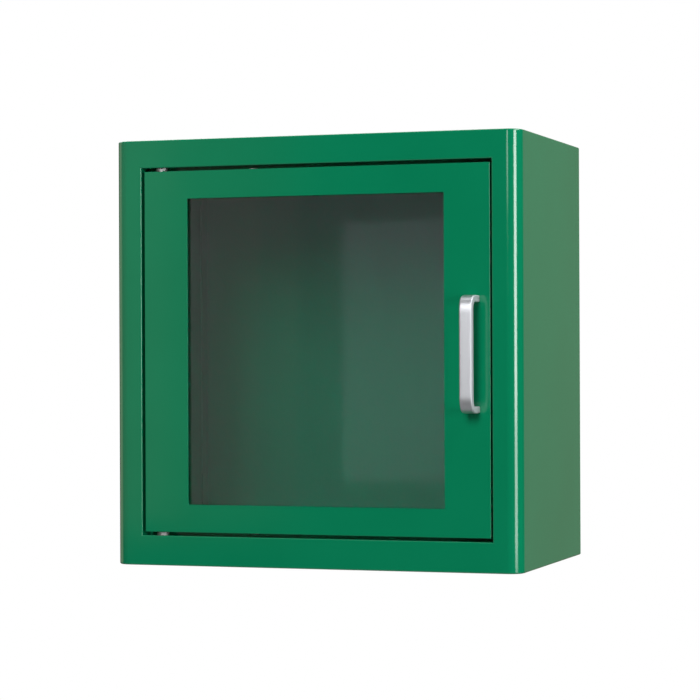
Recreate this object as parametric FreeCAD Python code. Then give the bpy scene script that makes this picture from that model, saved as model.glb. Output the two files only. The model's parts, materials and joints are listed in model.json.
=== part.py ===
import FreeCAD, Part
import math
import os

# A green steel wall cabinet for a public defibrillator, in millimetres.
# The origin is the centre of the rear face, which lies against the wall.
# X runs to the right of someone facing the door, Y runs into the wall and Z runs up.
# "Left" and "right" are theirs too: the door hangs on the left and its handle is on the right.

Vector = FreeCAD.Vector
RIGHT = Vector(1, 0, 0)
REAR = Vector(0, 1, 0)
UP = Vector(0, 0, 1)

# ---------------------------------------------------------------- driving dimensions

# Shell: two bent side sheets, a folded top and bottom, and a flanged back.
width = 380.0
height = 384.0
depth = 220.0
sheet = 1.5
corner_radius = 13.0
fold_radius = 0.5
hinge_stile = 26.5
latch_stile = 25.4
top_rail = 25.2
bottom_rail = 27.0
stop_lip = 20.0
weld_gap = 0.1
back_flange = 15.0
back_notch = 4.0

# Holes for the wall screws.
wall_hole_radius = 3.5
wall_hole_across = 300.0
wall_hole_up = 320.0

# Door: a folded pan with a window.
hinge_gap = 3.0
latch_gap = 1.6
rail_gap = 3.3
door_recess = 0.5
door_depth = 16.0
door_sheet = 1.5
window_stile = 41.5
window_rail = 25.0
window_corner = 0.8

# Pane, its foam tape and the strips that hold it.
tape_setback = 1.5
tape_width = 7.0
tape_thickness = 0.8
pane_overlap = 10.0
pane_thickness = 3.0
strip_sheet = 1.2
strip_clearance = 0.1
strip_grip = 6.0
strip_foot = 10.0
strip_overrun = 3.0
stud_radius = 1.5
stud_length = 7.0
stud_inset = 35.0
small_nut_flats = 5.5
small_nut_height = 2.4

# Pull handle and its two screws.
handle_inset = 14.8
handle_drop = 3.4
handle_centres = 96.0
handle_foot = 6.0
handle_width = 11.2
handle_reach = 27.0
handle_bar = 7.0
handle_bend = 12.0
handle_screw_radius = 2.0
handle_screw_depth = 10.0
handle_screw_spare = 2.0
screw_head_radius = 4.0
screw_head_height = 2.6
screw_slot_width = 1.0
screw_slot_depth = 1.2
handle_washer_radius = 4.5
handle_washer_thickness = 0.8

# Pivots: a shouldered stud in each rail, a washer, and a strap in the door.
pivot_inset = 14.0
pivot_setback = 8.0
pivot_radius = 3.0
running_clearance = 0.05
thread_clearance = 0.05
shoulder_radius = 5.5
shoulder_height = 2.4
spigot_spare = 2.0
pivot_washer_thickness = 0.6
pivot_nut_flats = 10.0
pivot_nut_height = 3.2
strap_thickness = 2.0
strap_width = 11.0
strap_end = 9.0
strap_rivet_pitch = 88.5
rivet_radius = 2.0
rivet_head_radius = 4.0
rivet_head_height = 1.2

# Magnets and rubber buffers on the stop lip, and the strikes on the door.
rest_clearance = 0.3
magnet_radius = 7.0
magnet_thickness = 4.0
magnet_spacing = 200.0
magnet_screw_radius = 1.5
magnet_screw_head = 3.0
strike_width = 18.5
strike_height = 30.0
strike_leg = 8.0
buffer_radius = 3.8
buffer_round = 1.2
buffer_spacing = 280.0
buffer_setback = 4.2

# Door alarm, stuck under the top of the cabinet.
alarm_x = 60.0
alarm_setback = 20.0
alarm_length = 92.0
alarm_height = 24.0
alarm_wall = 2.0
alarm_pad = 1.0
alarm_lid = 2.0
battery_radius = 5.25
battery_length = 44.5
battery_count = 3
battery_play = 0.3
contact_thickness = 0.5
contact_height = 9.0
contact_play = 0.25
nipple_radius = 1.8
nipple_height = 0.8
board_thickness = 1.6
board_clearance = 1.0
sounder_radius = 12.0
sounder_height = 9.0
sound_slot_width = 2.0
sound_slot_pitch = 4.5
sound_slot_count = 5
sound_slot_length = 16.0
post_radius = 3.0
post_sink = 0.6
lid_screw_radius = 1.25
lid_screw_depth = 9.0
lid_screw_head = 2.4
lid_screw_head_height = 1.6
switch_length = 13.0
switch_breadth = 5.0
switch_height = 5.0
slider_length = 5.0
slider_thickness = 2.0
slider_travel = 4.0
slider_stand_out = 3.0
slider_play = 0.2
sensor_magnet_length = 20.0
sensor_magnet_breadth = 8.0
sensor_magnet_height = 6.0
sensor_magnet_round = 1.0

# ---------------------------------------------------------------- places that follow

front_y = -depth
side_x = width / 2
top_z = height / 2
opening_left = -side_x + hinge_stile
opening_right = side_x - latch_stile
opening_top = top_z - top_rail
opening_bottom = -top_z + bottom_rail

door_left = opening_left + hinge_gap
door_right = opening_right - latch_gap
door_top = opening_top - rail_gap
door_bottom = opening_bottom + rail_gap
door_mid_z = (door_top + door_bottom) / 2
door_face_y = front_y + door_recess
door_inner_y = door_face_y + door_sheet
door_rear_y = door_face_y + door_depth
lip_y = door_rear_y + rest_clearance + magnet_thickness

window_left = door_left + window_stile
window_right = door_right - window_stile
window_top = door_top - window_rail
window_bottom = door_bottom + window_rail
pane_front_y = door_inner_y + tape_thickness
pane_rear_y = pane_front_y + pane_thickness
strip_web = pane_overlap + fold_radius + strip_clearance

pivot_x = door_left + pivot_inset
pivot_y = door_face_y + pivot_setback
strap_rivet_x = pivot_x + strap_rivet_pitch

handle_x = door_right - handle_inset
handle_z = door_mid_z - handle_drop
magnet_x = opening_right - stop_lip / 2

alarm_breadth = battery_length + 2 * (contact_thickness + contact_play + alarm_wall)
alarm_front_y = door_rear_y + alarm_setback
alarm_top_z = top_z - sheet - alarm_pad
alarm_base_z = alarm_top_z - alarm_height
alarm_left = alarm_x - alarm_length / 2
alarm_right = alarm_x + alarm_length / 2
alarm_rear_y = alarm_front_y + alarm_breadth
alarm_mid_y = (alarm_front_y + alarm_rear_y) / 2

# ---------------------------------------------------------------- shared shapes


def block(x, y, z):
    """A box between the low and high value of each axis."""
    size = [high - low for low, high in (x, y, z)]
    return Part.makeBox(*size, Vector(x[0], y[0], z[0]))


def rod(radius, start, direction, length):
    """A round bar from its start along a direction."""
    return Part.makeCylinder(radius, length, start, direction)


def hexagon(flats, hole_radius, start, direction, length):
    """A hexagon nut: its width across flats, its bore, and where it starts."""
    side = direction.cross(UP if abs(direction.z) < 0.5 else RIGHT)
    forward = direction.cross(side)
    reach = flats / math.sqrt(3)
    corners = []
    for turn in range(6):
        angle = math.radians(60 * turn)
        corners.append(start + side * (reach * math.cos(angle)) + forward * (reach * math.sin(angle)))
    prism = Part.Face(Part.makePolygon(corners + corners[:1])).extrude(direction * length)
    return prism.cut(rod(hole_radius, start, direction, length))


def bent_path(points, radii):
    """Edges of an open path: straight runs joined by tangent arcs."""
    edges = []
    start = points[0]
    for before, corner, after, radius in zip(points, points[1:], points[2:], radii):
        back = (before - corner).normalize()
        ahead = (after - corner).normalize()
        half = back.getAngle(ahead) / 2
        first = corner + back * (radius / math.tan(half))
        last = corner + ahead * (radius / math.tan(half))
        inward = (back + ahead).normalize()
        middle = corner + inward * (radius / math.sin(half) - radius)
        edges.append(Part.LineSegment(start, first).toShape())
        edges.append(Part.Arc(first, middle, last).toShape())
        start = last
    edges.append(Part.LineSegment(start, points[-1]).toShape())
    return edges


def bent_sheet(points, inside_radii, thickness, along, length):
    """A folded strip. Its thickness lies left of the path's travel, seen with along towards the eye."""
    travels = [(after - before).normalize() for before, after in zip(points, points[1:])]
    lefts = [along.cross(travel) for travel in travels]
    near_radii = []
    far_radii = []
    far_points = [points[0] + lefts[0] * thickness]
    for index, radius in enumerate(inside_radii):
        turns_left = travels[index].cross(travels[index + 1]).dot(along) > 0
        near_radii.append(radius + thickness if turns_left else radius)
        far_radii.append(radius if turns_left else radius + thickness)
        shift = (lefts[index] + lefts[index + 1]) * thickness
        far_points.append(points[index + 1] + shift)
    far_points.append(points[-1] + lefts[-1] * thickness)
    edges = bent_path(points, near_radii) + bent_path(far_points, far_radii)
    edges.append(Part.LineSegment(points[0], far_points[0]).toShape())
    edges.append(Part.LineSegment(points[-1], far_points[-1]).toShape())
    outline = Part.Wire(Part.__sortEdges__(edges))
    return Part.Face(outline).extrude(along * length)


def folded_tray(x, z, front, rear, thickness, open_side):
    """A pan with walls on four sides, open towards the front or the rear."""
    outside = block(x, (front, rear), z)
    plate_y = rear if open_side == "front" else front
    outside = outside.makeFillet(fold_radius + thickness, edges_at(outside, plate_y))
    inner_x = (x[0] + thickness, x[1] - thickness)
    inner_z = (z[0] + thickness, z[1] - thickness)
    if open_side == "front":
        inner_y = (front, rear - thickness)
    else:
        inner_y = (front + thickness, rear)
    floor_y = inner_y[1] if open_side == "front" else inner_y[0]
    inside = block(inner_x, inner_y, inner_z)
    inside = inside.makeFillet(fold_radius, edges_at(inside, floor_y))
    return outside.cut(inside)


def edges_at(shape, y):
    """The edges of a shape that lie in one upright plane."""
    return [edge for edge in shape.Edges
            if all(abs(vertex.Point.y - y) < 1e-6 for vertex in edge.Vertexes)]


def joined(first, *others):
    """One solid from pieces that share faces."""
    return first.fuse(list(others)).removeSplitter()


def mirrored(shape, axis):
    """The same shape on the other side of the middle."""
    return shape.mirror(Vector(0, 0, 0), axis)


# ---------------------------------------------------------------- cabinet shell


def side_sheet(stile, opening_low, opening_high, lip):
    """The left side, its big bend, its stile and the return beside the door."""
    jamb_x = -side_x + stile
    rear = Vector(-side_x, 0, -top_z)
    corner = Vector(-side_x, front_y, -top_z)
    jamb = Vector(jamb_x, front_y, -top_z)
    return_end = Vector(jamb_x, lip_y, -top_z)
    big_bend = corner_radius - sheet
    plain = bent_sheet([rear, corner, jamb], [big_bend], sheet, UP, height)
    path = [rear, corner, jamb, return_end]
    bends = [big_bend, fold_radius]
    if lip > 0:
        path.append(Vector(jamb_x + lip, lip_y, -top_z))
        bends.append(fold_radius)
    opening_height = opening_high - opening_low
    with_return = bent_sheet(path, bends, sheet, UP, opening_height)
    with_return.translate(UP * (opening_low + top_z))
    opening = block((-width, width), (-2 * depth, depth), (opening_low, opening_high))
    return joined(plain.cut(opening), with_return)


def flat_sheet(rail, left, right):
    """The top, with the rail folded down over the door and its return."""
    across = side_x - sheet - weld_gap
    plate = block((-across, across), (front_y + sheet + weld_gap, 0), (top_z - sheet, top_z))
    upright = [edge for edge in plate.Edges
               if abs(edge.tangentAt(edge.FirstParameter).z) > 0.9
               and edge.Vertexes[0].Point.y < front_y / 2]
    plate = plate.makeFillet(corner_radius - sheet - weld_gap, upright)
    seam_y = front_y + corner_radius
    path = [Vector(left, seam_y, top_z),
            Vector(left, front_y, top_z),
            Vector(left, front_y, top_z - rail),
            Vector(left, lip_y, top_z - rail)]
    front = bent_sheet(path, [fold_radius, fold_radius], sheet, RIGHT, right - left)
    shared = block((left, right), (-2 * depth, seam_y), (top_z - 2 * sheet, top_z + sheet))
    return joined(plate.cut(shared), front)


def pivot_hole(z):
    """The hole for a pivot stud through the rail's return at a height."""
    return rod(pivot_radius + thread_clearance, Vector(pivot_x, pivot_y, z), UP, 4 * sheet)


def top_sheet():
    plain = flat_sheet(top_rail, opening_left, opening_right)
    return plain.cut(pivot_hole(opening_top - sheet))


def bottom_sheet():
    plain = mirrored(flat_sheet(bottom_rail, opening_left, opening_right), UP)
    return plain.cut(pivot_hole(opening_bottom - 3 * sheet))


def left_side_sheet():
    return side_sheet(hinge_stile, opening_bottom, opening_top, 0)


def right_side_sheet():
    shape = mirrored(side_sheet(latch_stile, opening_bottom, opening_top, stop_lip), RIGHT)
    for z in magnet_heights():
        hole = rod(magnet_screw_radius + thread_clearance, Vector(magnet_x, lip_y, z), REAR, sheet)
        shape = shape.cut(hole)
    return shape


def back_sheet():
    across = side_x - sheet - weld_gap
    tall = top_z - sheet - weld_gap
    tray = folded_tray((-across, across), (-tall, tall), -back_flange, 0, sheet, "front")
    for x in (-across, across):
        for z in (-tall, tall):
            notch = block((x - back_notch, x + back_notch), (-back_flange, 0),
                          (z - back_notch, z + back_notch))
            tray = tray.cut(notch)
    for x in (-wall_hole_across / 2, wall_hole_across / 2):
        for z in (-wall_hole_up / 2, wall_hole_up / 2):
            tray = tray.cut(rod(wall_hole_radius, Vector(x, -sheet, z), REAR, sheet))
    return tray


# ---------------------------------------------------------------- pivots


def pivot_stud(rail_z, towards_door):
    """A stud screwed into a rail, with a shoulder in the gap and a spigot in the door."""
    start = Vector(pivot_x, pivot_y, rail_z)
    spigot_length = rail_gap + door_sheet + strap_thickness + spigot_spare
    tail_length = sheet + pivot_nut_height + spigot_spare / 2
    spigot = rod(pivot_radius, start, towards_door, spigot_length)
    shoulder = rod(shoulder_radius, start, towards_door, shoulder_height)
    tail = rod(pivot_radius, start, towards_door * -1, tail_length)
    return joined(spigot, shoulder, tail)


def pivot_washer(start_z, towards_rail):
    ring = rod(shoulder_radius, Vector(pivot_x, pivot_y, start_z), towards_rail, pivot_washer_thickness)
    bore = rod(pivot_radius + running_clearance, Vector(pivot_x, pivot_y, start_z), towards_rail,
               pivot_washer_thickness)
    return ring.cut(bore)


def pivot_nuts():
    nuts = []
    for rail_z, away in ((opening_top, UP), (opening_bottom, UP * -1)):
        start = Vector(pivot_x, pivot_y, rail_z) + away * sheet
        nuts.append(hexagon(pivot_nut_flats, pivot_radius + thread_clearance, start, away,
                            pivot_nut_height))
    return Part.makeCompound(nuts)


def hinge_strap(flange_z, away):
    """A flat strap inside the door, under a flange: the spigot turns in its hole."""
    x = (pivot_x - strap_end, strap_rivet_x + strap_end)
    y = (pivot_y - strap_width / 2, pivot_y + strap_width / 2)
    z = sorted((flange_z, flange_z + away.z * strap_thickness))
    strap = block(x, y, z)
    strap = strap.makeFillet(strap_width / 3, upright_edges(strap))
    for centre_x, radius in hinge_holes():
        strap = strap.cut(rod(radius, Vector(centre_x, pivot_y, z[0]), UP, strap_thickness))
    return strap


def hinge_holes():
    """Where the door's flanges and straps are bored, and how wide: for the spigot and the rivet."""
    return [(pivot_x, pivot_radius + running_clearance),
            (strap_rivet_x, rivet_radius + thread_clearance)]


def upright_edges(shape):
    """The edges of a shape that run straight up."""
    return [edge for edge in shape.Edges if abs(edge.tangentAt(edge.FirstParameter).z) > 0.9]


def hinge_rivets():
    """One rivet through each door flange and strap, with its head in the gap."""
    rivets = []
    for flange_z, out in ((door_top, UP), (door_bottom, UP * -1)):
        start = Vector(strap_rivet_x, pivot_y, flange_z)
        grip = door_sheet + strap_thickness
        shank = rod(rivet_radius, start, out * -1, grip)
        head = rod(rivet_head_radius, start, out, rivet_head_height)
        rim = [edge for edge in head.Edges
               if all(abs(vertex.Point.z - flange_z) > rivet_head_height / 2 for vertex in edge.Vertexes)]
        head = head.makeFillet(rivet_head_height * 0.8, rim)
        tail = rod(rivet_head_radius * 0.85, start - out * grip, out * -1, rivet_head_height)
        rivets.append(joined(shank, head, tail))
    return Part.makeCompound(rivets)


# ---------------------------------------------------------------- door


def door_pan():
    pan = folded_tray((door_left, door_right), (door_bottom, door_top), door_face_y, door_rear_y,
                      door_sheet, "rear")
    window = block((window_left, window_right), (door_face_y, door_inner_y), (window_bottom, window_top))
    window = window.makeFillet(window_corner, edges_along_y(window))
    pan = pan.cut(window)
    for z in (door_bottom, door_top - door_sheet):
        for x, radius in hinge_holes():
            pan = pan.cut(rod(radius, Vector(x, pivot_y, z), UP, door_sheet))
    for z in handle_heights():
        mouth = Vector(handle_x, door_face_y, z)
        pan = pan.cut(rod(handle_screw_radius + thread_clearance, mouth, REAR, door_sheet))
    return pan


def edges_along_y(shape):
    """The edges of a shape that run from front to rear."""
    return [edge for edge in shape.Edges if abs(edge.tangentAt(edge.FirstParameter).y) > 0.9]


def ring_in_plane(inner, outer, front, rear):
    """A flat frame round the window, by how far it stands out from the window's edge."""
    shapes = []
    for reach in (outer, inner):
        shapes.append(block((window_left - reach, window_right + reach), (front, rear),
                            (window_bottom - reach, window_top + reach)))
    return shapes[0].cut(shapes[1])


def glazing_tape():
    return ring_in_plane(tape_setback, tape_setback + tape_width, door_inner_y, pane_front_y)


def window_pane():
    return block((window_left - pane_overlap, window_right + pane_overlap), (pane_front_y, pane_rear_y),
                 (window_bottom - pane_overlap, window_top + pane_overlap))


def strip_sides():
    """For each side of the window: its name, where its strip starts, outwards and its length."""
    wide = window_right - window_left
    tall = window_top - window_bottom
    return [("upper", Vector(window_right, 0, window_top), UP, wide),
            ("left", Vector(window_left, 0, window_top), RIGHT * -1, tall),
            ("lower", Vector(window_left, 0, window_bottom), UP * -1, wide),
            ("right", Vector(window_right, 0, window_bottom), RIGHT, tall)]


def stud_places(start, outward, length):
    """The two studs of one strip, on the inner face of the door."""
    along = outward.cross(REAR)
    reach = strip_web + strip_sheet + (strip_foot - strip_sheet) / 2
    base = start + outward * reach + REAR * door_inner_y
    return [base + along * stud_inset, base + along * (length - stud_inset)]


def pane_strip(start, outward, length):
    """A strip of stepped section that clamps one edge of the pane to the door."""
    along = outward.cross(REAR)
    corner = start - along * strip_overrun
    path = [corner + outward * (pane_overlap - strip_grip) + REAR * pane_rear_y,
            corner + outward * strip_web + REAR * pane_rear_y,
            corner + outward * strip_web + REAR * door_inner_y,
            corner + outward * (strip_web + strip_foot) + REAR * door_inner_y]
    strip = bent_sheet(path, [fold_radius, fold_radius], strip_sheet, along, length + 2 * strip_overrun)
    for place in stud_places(start, outward, length):
        strip = strip.cut(rod(stud_radius + thread_clearance, place, REAR, strip_sheet))
    return strip


def pane_studs():
    studs = []
    for name, start, outward, length in strip_sides():
        for place in stud_places(start, outward, length):
            studs.append(rod(stud_radius, place, REAR, stud_length))
    return Part.makeCompound(studs)


def pane_nuts():
    nuts = []
    for name, start, outward, length in strip_sides():
        for place in stud_places(start, outward, length):
            nuts.append(hexagon(small_nut_flats, stud_radius + thread_clearance,
                                place + REAR * strip_sheet, REAR, small_nut_height))
    return Part.makeCompound(nuts)


# ---------------------------------------------------------------- handle


def handle_heights():
    return [handle_z - handle_centres / 2, handle_z + handle_centres / 2]


def handle():
    """A slice of C-shaped bar: two feet and a grip."""
    half = (handle_centres + handle_foot) / 2
    left = handle_x - handle_width / 2
    tip_y = door_face_y - handle_reach
    outer = [Vector(left, door_face_y, handle_z - half),
             Vector(left, tip_y, handle_z - half),
             Vector(left, tip_y, handle_z + half),
             Vector(left, door_face_y, handle_z + half)]
    inner_half = half - handle_foot
    inner_y = tip_y + handle_bar
    inner = [Vector(left, door_face_y, handle_z - inner_half),
             Vector(left, inner_y, handle_z - inner_half),
             Vector(left, inner_y, handle_z + inner_half),
             Vector(left, door_face_y, handle_z + inner_half)]
    inner_bend = handle_bend - handle_foot
    edges = bent_path(outer, [handle_bend, handle_bend]) + bent_path(inner, [inner_bend, inner_bend])
    edges.append(Part.LineSegment(outer[0], inner[0]).toShape())
    edges.append(Part.LineSegment(outer[-1], inner[-1]).toShape())
    bar = Part.Face(Part.Wire(Part.__sortEdges__(edges))).extrude(RIGHT * handle_width)
    hole_depth = handle_screw_depth + handle_screw_spare
    for z in handle_heights():
        mouth = Vector(handle_x, door_face_y, z)
        bar = bar.cut(rod(handle_screw_radius + thread_clearance, mouth, REAR * -1, hole_depth))
    return bar


def handle_screws():
    """Pan-head screws from inside the door into the handle's feet."""
    screws = []
    for z in handle_heights():
        seat = Vector(handle_x, door_inner_y + handle_washer_thickness, z)
        reach = handle_washer_thickness + door_sheet + handle_screw_depth
        head = rod(screw_head_radius, seat, REAR, screw_head_height)
        shank = rod(handle_screw_radius, seat, REAR * -1, reach)
        crown_y = seat.y + screw_head_height
        rim = [edge for edge in head.Edges
               if all(abs(vertex.Point.y - crown_y) < 1e-6 for vertex in edge.Vertexes)]
        head = head.makeFillet(screw_head_height / 3, rim)
        slot = block((handle_x - screw_head_radius, handle_x + screw_head_radius),
                     (crown_y - screw_slot_depth, crown_y),
                     (z - screw_slot_width / 2, z + screw_slot_width / 2))
        screws.append(joined(shank, head).cut(slot))
    return Part.makeCompound(screws)


def handle_washers():
    washers = []
    for z in handle_heights():
        start = Vector(handle_x, door_inner_y, z)
        ring = rod(handle_washer_radius, start, REAR, handle_washer_thickness)
        bore = rod(handle_screw_radius + thread_clearance, start, REAR, handle_washer_thickness)
        washers.append(ring.cut(bore))
    return Part.makeCompound(washers)


# ---------------------------------------------------------------- magnets, strikes and buffers


def magnet_heights():
    return [door_mid_z - magnet_spacing / 2, door_mid_z + magnet_spacing / 2]


def screw_cone(z, spare):
    """The countersunk head of a magnet screw, or its seat when spare is added."""
    front = lip_y - magnet_thickness
    reach = magnet_screw_head - magnet_screw_radius
    return Part.makeCone(magnet_screw_head + spare, magnet_screw_radius + spare, reach,
                         Vector(magnet_x, front, z), REAR)


def catch_magnets():
    magnets = []
    for z in magnet_heights():
        start = Vector(magnet_x, lip_y - magnet_thickness, z)
        disc = rod(magnet_radius, start, REAR, magnet_thickness)
        bore = rod(magnet_screw_radius + thread_clearance, start, REAR, magnet_thickness)
        magnets.append(disc.cut(bore).cut(screw_cone(z, thread_clearance)))
    return Part.makeCompound(magnets)


def catch_screws():
    screws = []
    for z in magnet_heights():
        start = Vector(magnet_x, lip_y - magnet_thickness, z)
        reach = magnet_thickness + sheet + small_nut_height + 1
        screws.append(joined(rod(magnet_screw_radius, start, REAR, reach), screw_cone(z, 0)))
    return Part.makeCompound(screws)


def catch_nuts():
    nuts = []
    for z in magnet_heights():
        start = Vector(magnet_x, lip_y + sheet, z)
        nuts.append(hexagon(small_nut_flats, magnet_screw_radius + thread_clearance, start, REAR,
                            small_nut_height))
    return Part.makeCompound(nuts)


def door_strikes():
    """Steel angles welded inside the door's right edge, facing the magnets."""
    strikes = []
    edge_x = door_right - door_sheet
    for z in magnet_heights():
        low = z - strike_height / 2
        path = [Vector(edge_x, door_rear_y - door_sheet - strike_leg, low),
                Vector(edge_x, door_rear_y, low),
                Vector(edge_x - strike_width, door_rear_y, low)]
        strikes.append(bent_sheet(path, [fold_radius], door_sheet, UP, strike_height))
    return Part.makeCompound(strikes)


def door_buffers():
    """Rubber buttons on the stop lip, where the door's right edge comes to rest."""
    buffers = []
    height_out = magnet_thickness
    for z in (door_mid_z - buffer_spacing / 2, door_mid_z + buffer_spacing / 2):
        button = rod(buffer_radius, Vector(opening_right - buffer_setback, lip_y, z), REAR * -1, height_out)
        rim = [edge for edge in button.Edges
               if all(abs(vertex.Point.y - lip_y + height_out) < 1e-6 for vertex in edge.Vertexes)]
        buffers.append(button.makeFillet(buffer_round, rim))
    return Part.makeCompound(buffers)


# ---------------------------------------------------------------- door alarm

alarm_inner_left = alarm_left + alarm_wall
alarm_inner_right = alarm_right - alarm_wall
alarm_inner_front = alarm_front_y + alarm_wall
alarm_inner_rear = alarm_rear_y - alarm_wall
alarm_inner_top = alarm_top_z - alarm_wall
lid_top_z = alarm_base_z + alarm_lid
battery_pitch = 2 * battery_radius + battery_play
battery_z = lid_top_z + battery_radius + battery_play
batteries_width = battery_count * battery_pitch
board_left = alarm_inner_left + batteries_width + 2 * board_clearance
board_right = alarm_inner_right - board_clearance
board_top_z = alarm_inner_top
sounder_x = board_left + sounder_radius + board_clearance
slider_z = board_top_z - board_thickness - switch_height / 2


def post_places():
    """Where the lid's two screws go: opposite corners of the housing."""
    inset = post_radius - post_sink
    return [Vector(board_left + inset, alarm_inner_front + inset, lid_top_z),
            Vector(alarm_inner_right - inset, alarm_inner_rear - inset, lid_top_z)]


def alarm_pad_piece():
    return block((alarm_left + alarm_wall, alarm_right - alarm_wall),
                 (alarm_front_y + alarm_wall, alarm_rear_y - alarm_wall),
                 (alarm_top_z, alarm_top_z + alarm_pad))


def alarm_housing():
    """A plastic box, open below, with two screw posts and a slot for the switch."""
    outside = block((alarm_left, alarm_right), (alarm_front_y, alarm_rear_y), (lid_top_z, alarm_top_z))
    inside = block((alarm_inner_left, alarm_inner_right), (alarm_inner_front, alarm_inner_rear),
                   (lid_top_z, alarm_inner_top))
    box = outside.makeFillet(alarm_wall, upright_edges(outside)).cut(inside)
    post_height = alarm_inner_top - lid_top_z
    for place in post_places():
        box = joined(box, rod(post_radius, place, UP, post_height))
        box = box.cut(rod(lid_screw_radius, place, UP, lid_screw_depth))
    half_slot = (slider_length + slider_travel) / 2 + slider_play
    half_thick = slider_thickness / 2 + slider_play
    slot = block((alarm_inner_right, alarm_right), (alarm_mid_y - half_slot, alarm_mid_y + half_slot),
                 (slider_z - half_thick, slider_z + half_thick))
    return box.cut(slot)


def alarm_cover():
    """The lid, with slots for the sound and holes for its screws."""
    lid = block((alarm_left, alarm_right), (alarm_front_y, alarm_rear_y), (alarm_base_z, lid_top_z))
    lid = lid.makeFillet(alarm_wall, upright_edges(lid))
    for index in range(sound_slot_count):
        x = sounder_x + (index - (sound_slot_count - 1) / 2) * sound_slot_pitch
        slot = block((x - sound_slot_width / 2, x + sound_slot_width / 2),
                     (alarm_mid_y - sound_slot_length / 2, alarm_mid_y + sound_slot_length / 2),
                     (alarm_base_z, lid_top_z))
        lid = lid.cut(slot)
    for place in post_places():
        lid = lid.cut(rod(lid_screw_radius + thread_clearance, place, UP * -1, alarm_lid))
    return lid


def alarm_screws():
    screws = []
    for place in post_places():
        seat = place - UP * alarm_lid
        head = rod(lid_screw_head, seat, UP * -1, lid_screw_head_height)
        shank = rod(lid_screw_radius, seat, UP, alarm_lid + lid_screw_depth - 1)
        screws.append(joined(shank, head))
    return Part.makeCompound(screws)


def battery_x(index):
    return alarm_inner_left + board_clearance + (index + 0.5) * battery_pitch


def alarm_batteries():
    cells = []
    start_y = alarm_mid_y - battery_length / 2
    can_length = battery_length - nipple_height
    for index in range(battery_count):
        start = Vector(battery_x(index), start_y, battery_z)
        can = rod(battery_radius, start, REAR, can_length)
        nipple = rod(nipple_radius, start + REAR * can_length, REAR, nipple_height)
        cells.append(joined(can, nipple))
    return Part.makeCompound(cells)


def battery_contacts():
    """A plated strip across each end of the row of cells."""
    x = (battery_x(0) - battery_radius, battery_x(battery_count - 1) + battery_radius)
    z = (lid_top_z + battery_play, lid_top_z + battery_play + contact_height)
    strips = []
    for end in (-1, 1):
        near = alarm_mid_y + end * (battery_length / 2)
        y = sorted((near, near + end * contact_thickness))
        strips.append(block(x, y, z))
    return Part.makeCompound(strips)


def alarm_board():
    """The circuit board under the housing's roof, notched round the posts."""
    board = block((board_left, board_right), (alarm_inner_front + board_clearance,
                                              alarm_inner_rear - board_clearance),
                  (board_top_z - board_thickness, board_top_z))
    for place in post_places():
        board = board.cut(rod(post_radius + board_clearance, place, UP, alarm_height))
    return board


def alarm_sounder():
    top = Vector(sounder_x, alarm_mid_y, board_top_z - board_thickness)
    return rod(sounder_radius, top, UP * -1, sounder_height)


def switch_body():
    """The switch's metal case on the board, hollow where the slider runs."""
    far = alarm_inner_right - slider_play
    case = block((far - switch_breadth, far),
                 (alarm_mid_y - switch_length / 2, alarm_mid_y + switch_length / 2),
                 (slider_z - switch_height / 2, slider_z + switch_height / 2))
    half_slot = (slider_length + slider_travel) / 2 + slider_play
    half_thick = slider_thickness / 2 + slider_play
    slot = block((far - switch_breadth / 2, far), (alarm_mid_y - half_slot, alarm_mid_y + half_slot),
                 (slider_z - half_thick, slider_z + half_thick))
    return case.cut(slot)


def switch_slider():
    """The switch's button: off at the front end of its slot."""
    low_y = alarm_mid_y - (slider_length + slider_travel) / 2
    low_x = alarm_inner_right - slider_play - switch_breadth / 2 + slider_play
    return block((low_x, alarm_right + slider_stand_out), (low_y, low_y + slider_length),
                 (slider_z - slider_thickness / 2, slider_z + slider_thickness / 2))


def sensor_magnet():
    """The magnet in its case under the door's upper flange: the alarm senses it."""
    rear = door_rear_y - sensor_magnet_round
    top = door_top - door_sheet
    case = block((alarm_x - sensor_magnet_length / 2, alarm_x + sensor_magnet_length / 2),
                 (rear - sensor_magnet_breadth, rear), (top - sensor_magnet_height, top))
    return case.makeFillet(sensor_magnet_round, upright_edges(case))


# ---------------------------------------------------------------- every piece, by its name

pieces = {
    "left_side_sheet": left_side_sheet(),
    "right_side_sheet": right_side_sheet(),
    "top_sheet": top_sheet(),
    "bottom_sheet": bottom_sheet(),
    "back_sheet": back_sheet(),
    "upper_pivot_stud": pivot_stud(opening_top, UP * -1),
    "lower_pivot_stud": pivot_stud(opening_bottom, UP),
    "upper_pivot_washer": pivot_washer(door_top, UP),
    "lower_pivot_washer": pivot_washer(opening_bottom + shoulder_height, UP),
    "pivot_nuts": pivot_nuts(),
    "catch_magnets": catch_magnets(),
    "catch_screws": catch_screws(),
    "catch_nuts": catch_nuts(),
    "door_buffers": door_buffers(),
    "alarm_pad": alarm_pad_piece(),
    "alarm_housing": alarm_housing(),
    "alarm_cover": alarm_cover(),
    "alarm_screws": alarm_screws(),
    "alarm_board": alarm_board(),
    "alarm_sounder": alarm_sounder(),
    "alarm_batteries": alarm_batteries(),
    "battery_contacts": battery_contacts(),
    "switch_body": switch_body(),
    "switch_slider": switch_slider(),
    "door_pan": door_pan(),
    "glazing_tape": glazing_tape(),
    "window_pane": window_pane(),
    "pane_studs": pane_studs(),
    "pane_nuts": pane_nuts(),
    "upper_hinge_strap": hinge_strap(door_top - door_sheet, UP * -1),
    "lower_hinge_strap": hinge_strap(door_bottom + door_sheet, UP),
    "hinge_rivets": hinge_rivets(),
    "door_strikes": door_strikes(),
    "handle": handle(),
    "handle_screws": handle_screws(),
    "handle_washers": handle_washers(),
    "sensor_magnet": sensor_magnet(),
}
for side, start, outward, length in strip_sides():
    pieces[side + "_pane_strip"] = pane_strip(start, outward, length)

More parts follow.
